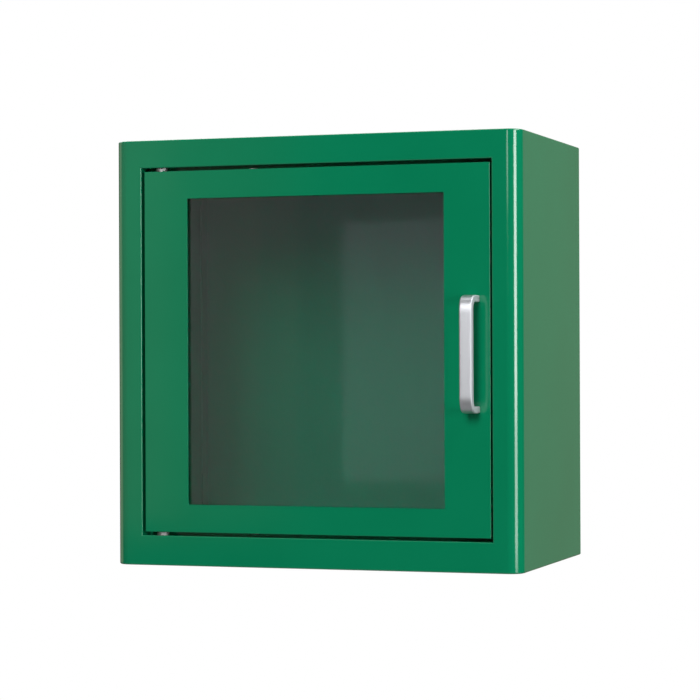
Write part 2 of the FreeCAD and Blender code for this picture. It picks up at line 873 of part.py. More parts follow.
os.makedirs("parts", exist_ok=True)
for name, shape in pieces.items():
    shape.exportStep("parts/" + name + ".step")
    print(name, len(shape.Solids), "solid", round(shape.Volume, 1), "mm3", shape.isValid())
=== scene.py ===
# %% [markdown]
# # A wall cabinet for a defibrillator
# The real object is a welded steel box with a windowed door, powder coated green all over.
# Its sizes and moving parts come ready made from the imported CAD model, which stays where it is.
# This lesson dresses that model: it makes the skins that show, finishes every surface,
# and sets up a camera, a floor and soft lamps.

import json
import math

import bmesh
import bpy
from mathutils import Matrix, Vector


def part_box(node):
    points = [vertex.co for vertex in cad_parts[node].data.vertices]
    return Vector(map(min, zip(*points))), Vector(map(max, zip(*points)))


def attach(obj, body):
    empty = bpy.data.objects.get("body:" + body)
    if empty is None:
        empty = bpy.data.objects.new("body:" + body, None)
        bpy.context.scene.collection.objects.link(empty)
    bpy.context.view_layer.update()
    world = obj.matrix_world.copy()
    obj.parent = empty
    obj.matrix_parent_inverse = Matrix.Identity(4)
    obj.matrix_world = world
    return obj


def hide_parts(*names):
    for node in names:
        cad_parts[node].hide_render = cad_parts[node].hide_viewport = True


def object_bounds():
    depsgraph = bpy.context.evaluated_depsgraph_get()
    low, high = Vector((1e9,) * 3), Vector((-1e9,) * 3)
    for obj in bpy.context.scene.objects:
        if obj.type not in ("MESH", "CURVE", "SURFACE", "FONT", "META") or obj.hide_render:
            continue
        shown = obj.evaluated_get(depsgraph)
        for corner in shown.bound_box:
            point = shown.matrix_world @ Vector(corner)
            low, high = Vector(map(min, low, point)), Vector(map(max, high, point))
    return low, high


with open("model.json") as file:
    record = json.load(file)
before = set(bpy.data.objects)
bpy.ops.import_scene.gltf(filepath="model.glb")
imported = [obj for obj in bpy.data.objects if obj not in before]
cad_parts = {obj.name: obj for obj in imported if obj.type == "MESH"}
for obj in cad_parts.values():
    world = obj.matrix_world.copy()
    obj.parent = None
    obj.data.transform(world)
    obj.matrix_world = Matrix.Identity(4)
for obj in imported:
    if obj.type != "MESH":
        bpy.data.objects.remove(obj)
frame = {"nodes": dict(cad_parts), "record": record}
cad_low, cad_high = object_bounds()
bpy.ops.object.select_all(action="DESELECT")
MM = 0.001
print("nodes", len(frame["nodes"]), "size", [round(side / MM, 1) for side in cad_high - cad_low])

# %% [markdown]
# ## The camera
# The cabinet is seen from a little to its right, level with its middle, with a long lens.
# A long lens keeps the edges nearly parallel, as in a catalogue picture.
# A lens could also be imitated by moving the camera far off, but the bend of the right edge
# and the width of the right side only come out right together at the true distance.

# %% Camera
LENS_MM = 127.2
SENSOR_MM = 36.0
CAMERA_PLACE = (0.7304, -2.2804, -0.0010)
CAMERA_TURN_DEGREES = (90.07, 0.23, 18.64)
camera_data = bpy.data.cameras.new("camera")
camera_data.lens = LENS_MM
camera_data.sensor_width = SENSOR_MM
camera = bpy.data.objects.new("camera", camera_data)
camera.location = CAMERA_PLACE
camera.rotation_euler = [math.radians(angle) for angle in CAMERA_TURN_DEGREES]
bpy.context.scene.collection.objects.link(camera)
bpy.context.scene.camera = camera
bpy.context.scene.view_settings.view_transform = "Standard"
print("camera at", [round(value, 3) for value in camera.location])

# %% [markdown]
# ## The room
# The world is a plain room. The camera, and what it sees through the pane, meets a white backdrop.
# Gloss meets the room's walls, which are a darker grey than the backdrop: a deep green paint
# would turn milky if it mirrored white from every side.
# A picture of a studio could light the scene too, but plain values are easier to tune.

# %% World
ROOM_GREY = 0.04
GLOSS_GREY = 0.03
BACKDROP_WHITE = 1.0
world = bpy.data.worlds.new("room")
bpy.context.scene.world = world
world.use_nodes = True
room_nodes = world.node_tree.nodes
room_links = world.node_tree.links
background = room_nodes["Background"]
ray = room_nodes.new("ShaderNodeLightPath")
sees_backdrop = room_nodes.new("ShaderNodeMath")
sees_backdrop.operation = "MAXIMUM"
room_links.new(ray.outputs["Is Camera Ray"], sees_backdrop.inputs[0])
room_links.new(ray.outputs["Is Transmission Ray"], sees_backdrop.inputs[1])
walls = room_nodes.new("ShaderNodeMix")
walls.inputs["A"].default_value = ROOM_GREY
walls.inputs["B"].default_value = GLOSS_GREY
room_links.new(ray.outputs["Is Glossy Ray"], walls.inputs["Factor"])
brightness = room_nodes.new("ShaderNodeMix")
brightness.inputs["B"].default_value = BACKDROP_WHITE
room_links.new(sees_backdrop.outputs[0], brightness.inputs["Factor"])
room_links.new(walls.outputs["Result"], brightness.inputs["A"])
background.inputs["Color"].default_value = (1.0, 1.0, 1.0, 1.0)
room_links.new(brightness.outputs["Result"], background.inputs["Strength"])
print("room grey", ROOM_GREY, "for gloss", GLOSS_GREY)

# %% [markdown]
# ## The lamps
# Each lamp is a soft box on a sphere round the cabinet, named by where it stands. The key is
# tall and stands high in front. It lights the door, throws the handle's shadow and shines
# through the window onto the back wall. Glossy paint would also mirror it, as a burnt-out patch
# on the top when that is seen from behind, so gloss doesn't see the key. Bare metal is nothing
# but gloss and would go dark, so it has a twin of the key that lights only the metal. The key's
# dim skirt, just below it, draws the faint line near the top of the bent right edge. A strip on
# the right draws the bright line beside it, and the strip's foot is dimmer, so that the line
# fades on its way down. Three boxes on the left overlap into one warm wall that fades towards
# the front, where the left of the pane and the frame mirror it. Two more carry the wall on round
# the bent left edge. The others keep the sides, the back and the top of the handle from going
# dark. Strength is given as the brightness of the box's face, so that size and level are set
# apart.

# %% Lamps
LAMP_DISTANCE = 3.0


def soft_box(name, azimuth, elevation, wide, tall, face_brightness, colour=(1.0, 1.0, 1.0)):
    """An area lamp that faces the cabinet. Its width and height are angles in degrees."""
    data = bpy.data.lights.new(name, "AREA")
    data.shape = "RECTANGLE"
    data.color = colour
    data.size = 2 * LAMP_DISTANCE * math.tan(math.radians(wide / 2))
    data.size_y = 2 * LAMP_DISTANCE * math.tan(math.radians(tall / 2))
    data.energy = face_brightness * math.pi * data.size * data.size_y
    lamp = bpy.data.objects.new(name, data)
    around = math.radians(azimuth)
    up = math.radians(elevation)
    away = Vector((math.sin(around) * math.cos(up), -math.cos(around) * math.cos(up), math.sin(up)))
    middle = (cad_low + cad_high) / 2
    lamp.location = middle + away * LAMP_DISTANCE
    lamp.rotation_euler = away.to_track_quat("Z", "Y").to_euler()
    bpy.context.scene.collection.objects.link(lamp)
    print(name, round(data.energy, 1), "W")
    return lamp


WARM = (1.0, 0.86, 0.62)
KEY = (5, 21.3, 13, 19.6, 28.0)
key = soft_box("key", *KEY)
key.visible_glossy = False
key_on_metal = soft_box("key_on_metal", *KEY)
metal_pieces = bpy.data.collections.new("metal_pieces")
key_on_metal.light_linking.receiver_collection = metal_pieces
soft_box("key_skirt", 5, 8.9, 10, 5.4, 3.9)
soft_box("right_strip", 62, 4.25, 20, 13.5, 10.0)
soft_box("right_strip_foot", 62, -5.4, 20, 5.8, 6.0)
soft_box("high_right", 92, 42, 34, 30, 9.2)
soft_box("left_wall_near", -33.2, 3, 27.4, 20, 0.06, WARM)
soft_box("left_wall_middle", -34, 3, 26, 20, 0.05, WARM)
soft_box("left_wall_far", -35.7, 3, 22.6, 20, 0.17, WARM)
soft_box("left_wall_side", -63.5, 3, 33, 20, 0.28, WARM)
soft_box("left_edge", -97, 0, 34, 26, 0.8, WARM)
soft_box("left_fill", -120, 40, 40, 40, 3.0)
soft_box("backdrop", 168, 0, 50, 50, 0.22, WARM)
soft_box("behind", 195, 42, 50, 40, 2.0)
soft_box("overhead", 0, 90, 60, 30, 1.8)

# %% [markdown]
# ## Helpers for finishes
# Every finish is a Principled shader with a few textures in front of it. The textures read
# Object coordinates, which here are metres in the cabinet's own frame, so a scale of 1000
# means one cell to a millimetre, the same on every piece.
# These helpers each add one step: a place to read, a grain, a spread of values, a relief.

# %% Helpers for finishes
GRAIN_LOW = 0.3
GRAIN_HIGH = 0.7


def new_finish(name, settings):
    """A material with its shader's sockets set by name."""
    made = bpy.data.materials.new(name)
    made.use_nodes = True
    shader = made.node_tree.nodes["Principled BSDF"]
    for socket, value in settings.items():
        shader.inputs[socket].default_value = value
    return made, shader


def add_node(made, kind, settings, inputs):
    """A node with its settings, and its inputs set to values or joined to other nodes' outputs."""
    node = made.node_tree.nodes.new(kind)
    for name, value in settings.items():
        setattr(node, name, value)
    for name, value in inputs.items():
        if isinstance(value, bpy.types.NodeSocket):
            made.node_tree.links.new(value, node.inputs[name])
        else:
            node.inputs[name].default_value = value
    return node


def object_place(made, stretch=(1, 1, 1)):
    """The cabinet's own coordinates, stretched along each axis."""
    source = add_node(made, "ShaderNodeTexCoord", {}, {})
    mapping = add_node(made, "ShaderNodeMapping", {},
                       {"Vector": source.outputs["Object"], "Scale": stretch})
    return mapping.outputs["Vector"]


def grain(made, scale, detail=2.0, stretch=(1, 1, 1)):
    """A cloudy grain between 0 and 1."""
    node = add_node(made, "ShaderNodeTexNoise", {},
                    {"Vector": object_place(made, stretch), "Scale": scale, "Detail": detail})
    return node.outputs["Fac"]


def spread(made, factor, low, high):
    """Turns a grain into a value that runs from low to high over the grain's usual range."""
    node = add_node(made, "ShaderNodeMapRange", {},
                    {"Value": factor, "From Min": GRAIN_LOW, "From Max": GRAIN_HIGH,
                     "To Min": low, "To Max": high})
    return node.outputs["Result"]


def tint(made, factor, first, second):
    """A colour between two, by a factor."""
    node = add_node(made, "ShaderNodeMix", {"data_type": "RGBA"}, {"Factor": factor})
    node.inputs[6].default_value = (*first, 1.0)
    node.inputs[7].default_value = (*second, 1.0)
    return node.outputs[2]


def relief(made, shader, height, depth, under=None):
    """Raises the surface by a depth in metres where the height is 1, on top of another relief."""
    inputs = {"Height": height, "Distance": depth, "Strength": 1.0}
    if under is not None:
        inputs["Normal"] = under
    node = add_node(made, "ShaderNodeBump", {}, inputs)
    made.node_tree.links.new(node.outputs["Normal"], shader.inputs["Normal"])
    return node.outputs["Normal"]


def join(made, output, shader, socket):
    """Joins an output to a socket of a shader or of another node."""
    made.node_tree.links.new(output, shader.inputs[socket])


print("finish helpers ready")

# %% [markdown]
# ## The floor
# The cabinet hangs on a wall, so the floor lies well below it. It is a plain sheet that bounces
# little light, so the cabinet's undersides keep their shade. Seen by the camera it glows pale,
# and the glow grows towards its edge. So its middle keeps the cabinet's soft shadow, and its edge
# meets the white backdrop without a line.

# %% Floor
FLOOR_DROP = 1.2
FLOOR_SIZE = 7.0
FADE_FROM = 1.0
FADE_TO = 2.8
GLOW_IN_MIDDLE = 0.78
bpy.ops.mesh.primitive_plane_add(size=FLOOR_SIZE, location=(0, 0, cad_low.z - FLOOR_DROP))
floor = bpy.context.object
floor.name = "floor"
floor_paint, shader = new_finish("floor_paint", {"Base Color": (0.25, 0.25, 0.25, 1.0),
                                                 "Roughness": 0.9,
                                                 "Specular IOR Level": 0.0,
                                                 "Emission Color": (1.0, 1.0, 1.0, 1.0)})
reach = add_node(floor_paint, "ShaderNodeVectorMath", {"operation": "LENGTH"},
                 {"Vector": object_place(floor_paint)})
fade = add_node(floor_paint, "ShaderNodeMapRange", {},
                {"Value": reach.outputs["Value"], "From Min": FADE_FROM, "From Max": FADE_TO,
                 "To Min": GLOW_IN_MIDDLE, "To Max": BACKDROP_WHITE})
seen = add_node(floor_paint, "ShaderNodeLightPath", {}, {})
glow = add_node(floor_paint, "ShaderNodeMath", {"operation": "MULTIPLY"},
                {0: seen.outputs["Is Camera Ray"], 1: fade.outputs["Result"]})
join(floor_paint, glow.outputs[0], shader, "Emission Strength")
floor.data.materials.append(floor_paint)
print("floor at", round(floor.location.z, 3))

# %% [markdown]
# ## Green powder coat
# Powder is sprayed on dry and baked, which leaves a thick, glossy skin with a soft orange peel:
# low waves about two millimetres across. Here two grains raise the surface, one for the peel and
# one much finer, and a third varies the sheen. The colour drifts a little from place to place,
# as the thickness of the coat does. The roughness is low, so that a bent edge draws each lamp as
# a crisp line, and the reliefs are only a thousandth of a millimetre or so, which makes it shimmer.

# %% Green powder coat
THICK_COAT = (0.0003, 0.174, 0.075)
THIN_COAT = (0.0010, 0.188, 0.083)
PEEL_DEPTH = 0.0009 * MM
FINE_DEPTH = 0.0006 * MM
green, shader = new_finish("green_powder_coat", {"Specular IOR Level": 0.7})
drift = spread(green, grain(green, 9.0, 3.0), 0.0, 1.0)
join(green, tint(green, drift, THICK_COAT, THIN_COAT), shader, "Base Color")
join(green, spread(green, grain(green, 60.0, 3.0), 0.09, 0.11), shader, "Roughness")
peel = relief(green, shader, grain(green, 520.0, 1.0), PEEL_DEPTH)
relief(green, shader, grain(green, 2600.0, 2.0), FINE_DEPTH, peel)
print(green.name)

# %% [markdown]
# ## Satin aluminium
# The pull handle is a slice of extruded aluminium, brushed along its length and anodised.
# The brushing shows as fine streaks, so the grain is stretched along the bar, and the sheen is
# broad enough to blur every lamp. A real anisotropic shader would streak it too, but the stretched
# relief also survives in the exported textures. The sawn sides of the slice are duller than its
# drawn face, so the roughness grows with the distance from the bar's middle.

# %% Satin aluminium
STREAK_DARK = (0.55, 0.565, 0.60)
STREAK_LIGHT = (0.61, 0.62, 0.65)
STREAK_DEPTH = 0.0010 * MM
ALONG_THE_BAR = (1.0, 1.0, 0.03)
SHEEN_ALONG_THE_BAR = (1.0, 1.0, 0.05)
DULL_FROM = 1.2 * MM
DULL_TO = 0.4 * MM
SIDES_DULLER_BY = 0.26
aluminium, shader = new_finish("satin_aluminium", {"Metallic": 1.0})
streaks = grain(aluminium, 3000.0, 3.0, ALONG_THE_BAR)
join(aluminium, tint(aluminium, streaks, STREAK_DARK, STREAK_LIGHT), shader, "Base Color")
relief(aluminium, shader, streaks, STREAK_DEPTH)
handle_low, handle_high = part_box("handle")
place = add_node(aluminium, "ShaderNodeSeparateXYZ", {}, {"Vector": object_place(aluminium)})
off_middle = add_node(aluminium, "ShaderNodeMath", {"operation": "SUBTRACT"},
                      {0: place.outputs["X"], 1: (handle_low.x + handle_high.x) / 2})
either_side = add_node(aluminium, "ShaderNodeMath", {"operation": "ABSOLUTE"},
                       {0: off_middle.outputs[0]})
half_width = (handle_high.x - handle_low.x) / 2
sides = add_node(aluminium, "ShaderNodeMapRange", {},
                 {"Value": either_side.outputs[0], "From Min": half_width - DULL_FROM,
                  "From Max": half_width - DULL_TO, "To Min": 0.0, "To Max": SIDES_DULLER_BY})
sheen = add_node(aluminium, "ShaderNodeMath", {"operation": "ADD"}, {0: sides.outputs["Result"]})
brushing = grain(aluminium, 700.0, 2.0, SHEEN_ALONG_THE_BAR)
join(aluminium, spread(aluminium, brushing, 0.41, 0.46), sheen, 1)
join(aluminium, sheen.outputs[0], shader, "Roughness")
print(aluminium.name)

# %% [markdown]
# ## Zinc and nickel plate
# Small steel hardware is zinc plated, which gives a soft grey shine with faint cloudy patches.
# The magnets and the battery contacts are nickel plated: smoother and slightly warm.
# Both are metals with a cloudy sheen, so one function makes them.

# %% Zinc and nickel plate


def plated_metal(name, dark, light, sheen_low, sheen_high):
    """A plated finish: cloudy colour and sheen over a fine grain."""
    made, shader = new_finish(name, {"Metallic": 1.0})
    clouds = spread(made, grain(made, 240.0, 4.0), 0.0, 1.0)
    join(made, tint(made, clouds, dark, light), shader, "Base Color")
    join(made, spread(made, grain(made, 500.0, 3.0), sheen_low, sheen_high), shader, "Roughness")
    relief(made, shader, grain(made, 2400.0, 2.0), 0.003 * MM)
    return made


zinc = plated_metal("zinc_plate", (0.31, 0.315, 0.32), (0.37, 0.37, 0.365), 0.48, 0.58)
nickel = plated_metal("nickel_plate", (0.60, 0.58, 0.54), (0.70, 0.67, 0.62), 0.14, 0.24)
print(zinc.name, nickel.name)

# %% [markdown]
# ## Plastics, rubber and foam
# Moulded plastic has the spark-eroded texture of its mould, rubber is duller and a little dusty,
# and foam tape shows its cells, with painted shade in their pits. Plastic and rubber are the same
# recipe with other scales, so one function makes both, and the foam has cells in place of a grain.

# %% Plastics, rubber and foam


def moulded(name, first, second, sheen_low, sheen_high, grain_scale, depth):
    """A moulded finish: two close colours, a sheen and the texture of the mould."""
    made, shader = new_finish(name, {"Specular IOR Level": 0.4})
    blotches = spread(made, grain(made, 80.0, 3.0), 0.0, 1.0)
    join(made, tint(made, blotches, first, second), shader, "Base Color")
    wear = grain(made, grain_scale / 3, 2.0)
    join(made, spread(made, wear, sheen_low, sheen_high), shader, "Roughness")
    relief(made, shader, grain(made, grain_scale, 3.0), depth)
    return made


black_plastic = moulded("black_plastic", (0.022, 0.022, 0.023), (0.034, 0.034, 0.034),
                        0.4, 0.52, 2600.0, 0.01 * MM)
rubber = moulded("black_rubber", (0.016, 0.016, 0.016), (0.030, 0.029, 0.028),
                 0.62, 0.8, 1500.0, 0.02 * MM)

foam, shader = new_finish("foam_tape", {"Roughness": 0.92, "Specular IOR Level": 0.2})
cells = add_node(foam, "ShaderNodeTexVoronoi", {}, {"Vector": object_place(foam), "Scale": 1700.0})
painted_pit_shade = spread(foam, cells.outputs["Distance"], 0.0, 1.0)
# Painted shade: the colour is darker in the pits of the cells, where the relief is lowest, and
# lighter on the raised cell walls.
foam_colour_with_pit_shade = tint(foam, painted_pit_shade, (0.012, 0.012, 0.012), (0.045, 0.045, 0.046))
join(foam, foam_colour_with_pit_shade, shader, "Base Color")
relief(foam, shader, cells.outputs["Distance"], 0.15 * MM)
print(black_plastic.name, rubber.name, foam.name)

# %% [markdown]
# ## Circuit board and battery sleeves
# The board is green solder mask over copper tracks, which show through as paler lines. A brick
# pattern drawn thin makes such lines. The cells have a plain dark sleeve with a pale band near the
# plus end and bare ends, and the band is found by how far along the cell a point lies.

# %% Circuit board and battery sleeves
board, shader = new_finish("circuit_board", {"Specular IOR Level": 0.5})
tracks = add_node(board, "ShaderNodeTexBrick", {"offset": 0.37, "squash": 1.6},
                  {"Vector": object_place(board), "Scale": 60.0, "Mortar Size": 0.012,
                   "Row Height": 0.12})
tracks.inputs["Color1"].default_value = (0.010, 0.085, 0.040, 1.0)
tracks.inputs["Color2"].default_value = (0.012, 0.095, 0.045, 1.0)
tracks.inputs["Mortar"].default_value = (0.060, 0.210, 0.100, 1.0)
join(board, tracks.outputs["Color"], shader, "Base Color")
join(board, spread(board, grain(board, 300.0), 0.25, 0.38), shader, "Roughness")
relief(board, shader, tracks.outputs["Fac"], 0.03 * MM)

BARE_END = (0.60, 0.60, 0.58, 1.0)
DARK_SLEEVE = (0.020, 0.028, 0.050, 1.0)
PALE_BAND = (0.42, 0.43, 0.44, 1.0)
cell_low, cell_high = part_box("alarm_batteries")
sleeve, shader = new_finish("battery_sleeve", {"Specular IOR Level": 0.5})
along = add_node(sleeve, "ShaderNodeSeparateXYZ", {}, {"Vector": object_place(sleeve)})
bands = add_node(sleeve, "ShaderNodeMapRange", {},
                 {"Value": along.outputs["Y"], "From Min": cell_low.y, "From Max": cell_high.y})
ramp = add_node(sleeve, "ShaderNodeValToRGB", {}, {"Fac": bands.outputs["Result"]})
ramp.color_ramp.interpolation = "CONSTANT"
ramp.color_ramp.elements[0].color = BARE_END
ramp.color_ramp.elements[1].position = 0.95
ramp.color_ramp.elements[1].color = BARE_END
for position, colour in ((0.02, DARK_SLEEVE), (0.74, PALE_BAND)):
    ramp.color_ramp.elements.new(position).color = colour
join(sleeve, ramp.outputs["Color"], shader, "Base Color")
join(sleeve, spread(sleeve, grain(sleeve, 200.0), 0.22, 0.32), shader, "Roughness")
print(board.name, sleeve.name)

# %% [markdown]
# ## Smoke-tinted pane
# The window is a sheet of grey-tinted clear plastic. It is real glass in the shader, so it mirrors
# the room and bends what lies behind it. Rays that carry a lamp's light to the back wall pass
# straight through and are only tinted: without that, glass casts a black shadow.
# A faint film of dust makes the sheen uneven.

# %% Smoke-tinted pane
PANE_TINT = (0.61, 0.63, 0.665)
pane_finish, shader = new_finish("tinted_pane", {"Base Color": (*PANE_TINT, 1.0), "IOR": 1.53,
                                                 "Transmission Weight": 1.0})
dust = spread(pane_finish, grain(pane_finish, 25.0, 4.0), 0.0, 0.03)
join(pane_finish, dust, shader, "Roughness")
pane_ray = add_node(pane_finish, "ShaderNodeLightPath", {}, {})
clear = add_node(pane_finish, "ShaderNodeBsdfTransparent", {}, {"Color": (*PANE_TINT, 1.0)})
either = add_node(pane_finish, "ShaderNodeMixShader", {},
                  {"Fac": pane_ray.outputs["Is Shadow Ray"]})
pane_finish.node_tree.links.new(shader.outputs["BSDF"], either.inputs[1])
pane_finish.node_tree.links.new(clear.outputs["BSDF"], either.inputs[2])
pane_finish.node_tree.links.new(either.outputs["Shader"],
                                pane_finish.node_tree.nodes["Material Output"].inputs["Surface"])
print(pane_finish.name)

# %% [markdown]
# ## Helpers for modelling
# The pieces are made as by hand: add a box, go into edit mode, choose faces or edges and work on
# them. With no hand to click, an element is chosen by its middle: choose runs a small test on
# each one and selects those that pass.

# %% Helpers for modelling
SAME_PLACE = 0.002 * MM


def add_box(name, low, high):
    """A box primitive between two corners, with its place in its mesh."""
    bpy.ops.object.select_all(action="DESELECT")
    bpy.ops.mesh.primitive_cube_add(size=1.0, location=(low + high) / 2, scale=high - low)
    bpy.ops.object.transform_apply(location=True, rotation=True, scale=True)
    piece = bpy.context.object
    piece.name = name
    piece.data.name = name
    return piece


def choose(piece, kind, wanted):
    """In edit mode, selects just the faces, edges or verts whose middle passes a test."""
    bpy.ops.mesh.select_mode(type={"faces": "FACE", "edges": "EDGE", "verts": "VERT"}[kind])
    bpy.ops.mesh.select_all(action="DESELECT")
    mesh = bmesh.from_edit_mesh(piece.data)
    chosen = 0
    for element in getattr(mesh, kind):
        corners = [element.co] if kind == "verts" else [corner.co for corner in element.verts]
        middle = sum(corners, Vector()) / len(corners)
        if wanted(middle, element):
            element.select_set(True)
            chosen += 1
    mesh.select_flush_mode()
    bmesh.update_edit_mesh(piece.data)
    return chosen


def near(first, second):
    """Whether two places along an axis are the same, but for rounding."""
    return abs(first - second) < SAME_PLACE


def direction_of(edge):
    """The direction of an edge, without its sign."""
    ahead = (edge.verts[1].co - edge.verts[0].co).normalized()
    return Vector((abs(ahead.x), abs(ahead.y), abs(ahead.z)))


def apply_modifier(piece, kind, settings):
    """Adds a modifier, sets it and applies it."""
    bpy.ops.object.select_all(action="DESELECT")
    piece.select_set(True)
    bpy.context.view_layer.objects.active = piece
    modifier = piece.modifiers.new(kind.lower(), kind)
    for name, value in settings.items():
        setattr(modifier, name, value)
    bpy.ops.object.modifier_apply(modifier=modifier.name)


def break_edges(piece, width, segments=2, angle=35.0):
    """Rounds every edge sharper than an angle, and keeps the large faces' flat shading."""
    apply_modifier(piece, "BEVEL", {"width": width, "segments": segments, "limit_method": "ANGLE",
                                    "angle_limit": math.radians(angle), "miter_outer": "MITER_ARC"})
    bpy.ops.object.shade_smooth_by_angle(angle=math.radians(angle))
    apply_modifier(piece, "WEIGHTED_NORMAL", {"keep_sharp": True, "weight": 100})


def paint(piece, finish):
    """Gives a piece its finish, and puts it in the key's light for metal where it is bare metal."""
    piece.data.materials.clear()
    piece.data.materials.append(finish)
    if finish in (aluminium, zinc, nickel):
        metal_pieces.objects.link(piece)


def dress(piece, body, slot, finish, *replaced):
    """Gives a piece its finish and its body, and hides the CAD nodes that it stands for."""
    paint(piece, finish)
    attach(piece, body)
    if replaced:
        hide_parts(*replaced)
    print(piece.name, len(piece.data.polygons), "faces")


def cut_window(piece, front_y, left, right, bottom, top):
    """Cuts a rectangle out of the front face of a piece in edit mode."""
    cuts = [((left, 0, 0), (1, 0, 0)), ((right, 0, 0), (1, 0, 0)),
            ((0, 0, bottom), (0, 0, 1)), ((0, 0, top), (0, 0, 1))]
    for place, direction in cuts:
        choose(piece, "faces", lambda middle, face: near(middle.y, front_y))
        bpy.ops.mesh.bisect(plane_co=place, plane_no=direction)
    choose(piece, "faces", lambda middle, face: near(middle.y, front_y)
           and left < middle.x < right and bottom < middle.z < top)
    bpy.ops.mesh.delete(type="FACE")


print("modelling helpers ready")

# %% [markdown]
# ## The shell
# The real shell is two side sheets with a big round bend, and a folded top and bottom, welded and
# ground flush, so under the paint it looks like one skin. It could be four dressed sheets, but then
# hairline seams would show that the welder has filled. So it is one surface here: a box whose
# upright front edges are bevelled wide, with the door's opening cut in its front, the returns
# extruded from the cut, and the stop lip extruded from the right-hand return.
# The free edges of the upper and lower returns are turned over into low hems, so that no cut edge
# meets a hand that reaches in. They also close the view into the cabinet through the door's gaps.
# Solidify then gives the skin the thickness of the steel, on its inner side.

# %% The shell's sizes
STEEL = 1.5 * MM
BIG_BEND = 13.0 * MM
FOLD = 1.2 * MM
STOP_LIP = 20.0 * MM
HEM = 2.0 * MM
WELD_ROUND = 1.4 * MM
SHELL_EDGE = 0.25 * MM
BEND_SEGMENTS = 18
sheets = ["left_side_sheet", "right_side_sheet", "top_sheet", "bottom_sheet"]
shell_low = Vector([min(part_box(node)[0][axis] for node in sheets) for axis in range(3)])
shell_high = Vector([max(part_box(node)[1][axis] for node in sheets) for axis in range(3)])
front = shell_low.y
opening_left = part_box("left_side_sheet")[1].x
opening_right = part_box("right_side_sheet")[0].x + STOP_LIP
opening_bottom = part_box("bottom_sheet")[1].z
opening_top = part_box("top_sheet")[0].z
lip_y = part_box("catch_magnets")[1].y
print("opening", round((opening_right - opening_left) / MM, 1), "x",
      round((opening_top - opening_bottom) / MM, 1))

# %% The shell's box, bends and opening
shell = add_box("cabinet_shell", shell_low, shell_high)
bpy.ops.object.mode_set(mode="EDIT")
choose(shell, "faces", lambda middle, face: near(middle.y, shell_high.y))
bpy.ops.mesh.delete(type="ONLY_FACE")
choose(shell, "edges", lambda middle, edge: near(middle.y, front) and direction_of(edge).z > 0.9)
bpy.ops.mesh.bevel(offset=BIG_BEND, segments=BEND_SEGMENTS, affect="EDGES")
cut_window(shell, front, opening_left, opening_right, opening_bottom, opening_top)
rim = choose(shell, "edges", lambda middle, edge: edge.is_boundary and near(middle.y, front))
bpy.ops.mesh.extrude_region_move(TRANSFORM_OT_translate={"value": (0, lip_y - front, 0)})
print("rim edges", rim)

# %% The shell's stop lip, hems, folds and welds
choose(shell, "edges", lambda middle, edge: near(middle.y, lip_y) and near(middle.x, opening_right))
bpy.ops.mesh.extrude_region_move(TRANSFORM_OT_translate={"value": (-STOP_LIP, 0, 0)})
lip_left = opening_right - STOP_LIP
for level, inward in ((opening_bottom, HEM), (opening_top, -HEM)):
    choose(shell, "faces", lambda middle, face: near(middle.z, level))
    bpy.ops.mesh.bisect(plane_co=(lip_left, 0, 0), plane_no=(1, 0, 0))
    choose(shell, "edges", lambda middle, edge: near(middle.y, lip_y) and near(middle.z, level)
           and middle.x < lip_left)
    bpy.ops.mesh.extrude_region_move(TRANSFORM_OT_translate={"value": (0, 0, inward)})
bpy.ops.mesh.select_all(action="SELECT")
bpy.ops.mesh.normals_make_consistent(inside=False)


def on_opening(middle):
    """Whether a place lies on the edge of the door's opening, seen from the front."""
    across = near(middle.x, opening_left) or near(middle.x, opening_right)
    level = near(middle.z, opening_bottom) or near(middle.z, opening_top)
    inside = (opening_left - MM < middle.x < opening_right + MM
              and opening_bottom - MM < middle.z < opening_top + MM)
    return inside and (across or level)


folds = choose(shell, "edges", lambda middle, edge: near(middle.y, front) and on_opening(middle))
bpy.ops.mesh.bevel(offset=FOLD, segments=5, affect="EDGES")


def is_weld(middle, edge):
    """An outer edge between the top or bottom and the front or a side."""
    at_end = near(middle.z, shell_low.z) or near(middle.z, shell_high.z)
    turns_down = any(abs(face.normal.z) < 0.5 for face in edge.link_faces)
    return at_end and not edge.is_boundary and turns_down


welds = choose(shell, "edges", is_weld)
bpy.ops.mesh.bevel(offset=WELD_ROUND, segments=4, affect="EDGES")
bpy.ops.object.mode_set(mode="OBJECT")
apply_modifier(shell, "SOLIDIFY", {"thickness": STEEL, "offset": -1.0, "use_even_offset": True,
                                   "use_quality_normals": True})
break_edges(shell, SHELL_EDGE)
dress(shell, "cabinet", "green_powder_coat", green, *sheets)
print("folds", folds, "welds", welds)

# %% [markdown]
# ## The door
# The door is a pan: a sheet with its four edges folded back and a window punched in its front.
# The same way of working makes it. Its folds are tighter than the shell's bends, and the punched
# edge of the window is only broken, so the paint on it catches the light as a thin line.

# %% The door
DOOR_FOLD = 0.35 * MM
DOOR_EDGE = 0.35 * MM
WINDOW_STILE = 41.5 * MM
WINDOW_RAIL = 25.0 * MM
WINDOW_CORNER = 0.8 * MM
door_low, door_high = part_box("door_pan")
window_left = door_low.x + WINDOW_STILE
window_right = door_high.x - WINDOW_STILE
window_bottom = door_low.z + WINDOW_RAIL
window_top = door_high.z - WINDOW_RAIL
door = add_box("door_skin", door_low, door_high)
bpy.ops.object.mode_set(mode="EDIT")
choose(door, "faces", lambda middle, face: near(middle.y, door_high.y))
bpy.ops.mesh.delete(type="ONLY_FACE")
choose(door, "edges", lambda middle, edge: near(middle.y, door_low.y))
bpy.ops.mesh.bevel(offset=DOOR_FOLD, segments=4, affect="EDGES")
cut_window(door, door_low.y, window_left, window_right, window_bottom, window_top)
corners = choose(door, "verts", lambda middle, corner: corner.is_boundary
                 and near(middle.y, door_low.y))
bpy.ops.mesh.bevel(offset=WINDOW_CORNER, segments=3, affect="VERTICES")
bpy.ops.mesh.select_all(action="SELECT")
bpy.ops.mesh.normals_make_consistent(inside=False)
bpy.ops.object.mode_set(mode="OBJECT")
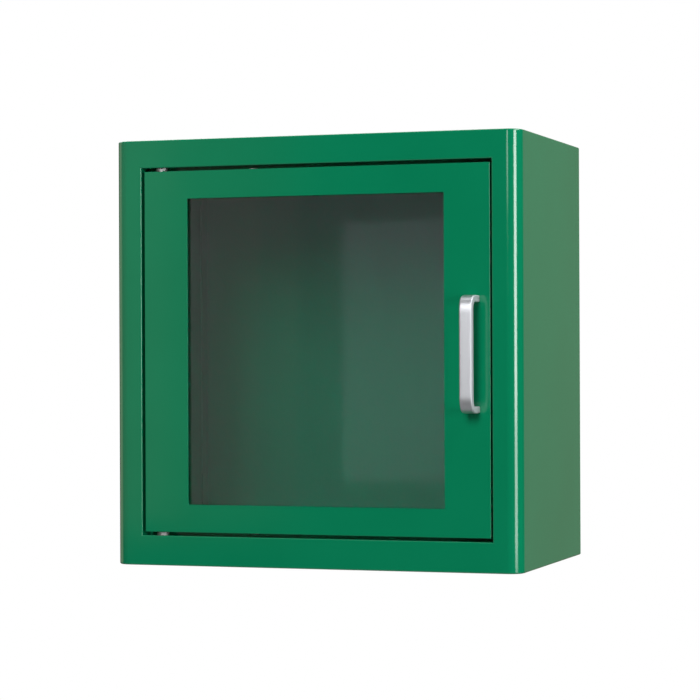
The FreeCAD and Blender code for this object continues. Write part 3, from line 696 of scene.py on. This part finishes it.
apply_modifier(door, "SOLIDIFY", {"thickness": STEEL, "offset": -1.0, "use_even_offset": True,
                                  "use_quality_normals": True})
break_edges(door, DOOR_EDGE, 3)
dress(door, "door", "green_powder_coat", green, "door_pan")
print("window corners", corners)

# %% [markdown]
# ## The window pane
# The pane is a cut sheet with its edges just broken. It stays a solid slab, because glass needs
# a front and a back to bend light through.

# %% The window pane
PANE_EDGE = 0.3 * MM
pane = add_box("pane", *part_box("window_pane"))
break_edges(pane, PANE_EDGE)
dress(pane, "door", "tinted_pane", pane_finish, "window_pane")

# %% [markdown]
# ## The pull handle
# The handle is a slice of an extruded C: a flat grip and two feet in one piece, with wide outer
# bends. It starts as the grip alone, and the two feet are extruded from its back.
# Its two ends and the inside of the bends are bevelled, and then all its edges are softened,
# as tumbling does to a cut slice.

# %% The pull handle
HANDLE_FOOT = 6.0 * MM
HANDLE_BAR = 7.0 * MM
OUTER_BEND = 17.0 * MM
OUTER_PROFILE = 0.63
INNER_BEND = 6.0 * MM
HANDLE_EDGE = 1.2 * MM
bar_back = handle_low.y + HANDLE_BAR
handle = add_box("pull_handle", handle_low, Vector((handle_high.x, bar_back, handle_high.z)))
bpy.ops.object.mode_set(mode="EDIT")
for foot_z in (handle_low.z + HANDLE_FOOT, handle_high.z - HANDLE_FOOT):
    bpy.ops.mesh.select_all(action="SELECT")
    bpy.ops.mesh.bisect(plane_co=(0, 0, foot_z), plane_no=(0, 0, 1))
feet = choose(handle, "faces", lambda middle, face: near(middle.y, bar_back)
              and not handle_low.z + HANDLE_FOOT < middle.z < handle_high.z - HANDLE_FOOT)
bpy.ops.mesh.extrude_region_move(TRANSFORM_OT_translate={"value": (0, handle_high.y - bar_back, 0)})
bpy.ops.mesh.select_all(action="SELECT")
bpy.ops.mesh.dissolve_limited(angle_limit=math.radians(1))
choose(handle, "edges", lambda middle, edge: near(middle.y, handle_low.y)
       and direction_of(edge).x > 0.9)
bpy.ops.mesh.bevel(offset=OUTER_BEND, segments=BEND_SEGMENTS, profile=OUTER_PROFILE, affect="EDGES")
choose(handle, "edges", lambda middle, edge: near(middle.y, bar_back)
       and direction_of(edge).x > 0.9)
bpy.ops.mesh.bevel(offset=INNER_BEND, segments=8, affect="EDGES")
bpy.ops.object.mode_set(mode="OBJECT")
print("feet", feet)

break_edges(handle, HANDLE_EDGE, 4, 40.0)
dress(handle, "door", "satin_aluminium", aluminium, "handle")

# %% [markdown]
# ## Finishes for the pieces that stay
# The rest of the pieces are right as the CAD model has them, small and mostly hidden: hardware,
# magnets, the alarm and the back. Each takes the finish that its material slot in the record
# names, so no piece is left plain.

# %% Finishes for the pieces that stay
finishes = {"green_powder_coat": green, "satin_aluminium": aluminium, "zinc_plate": zinc,
            "nickel_plate": nickel, "black_rubber": rubber, "foam_tape": foam,
            "black_plastic": black_plastic, "circuit_board": board,
            "battery_sleeve": sleeve, "tinted_pane": pane_finish}
for subpart in frame["record"]["subparts"]:
    node = frame["nodes"][subpart["node"]]
    if not node.hide_render:
        paint(node, finishes[subpart["material_slot"]])
print("finished", sum(not node.hide_render for node in frame["nodes"].values()), "CAD nodes")
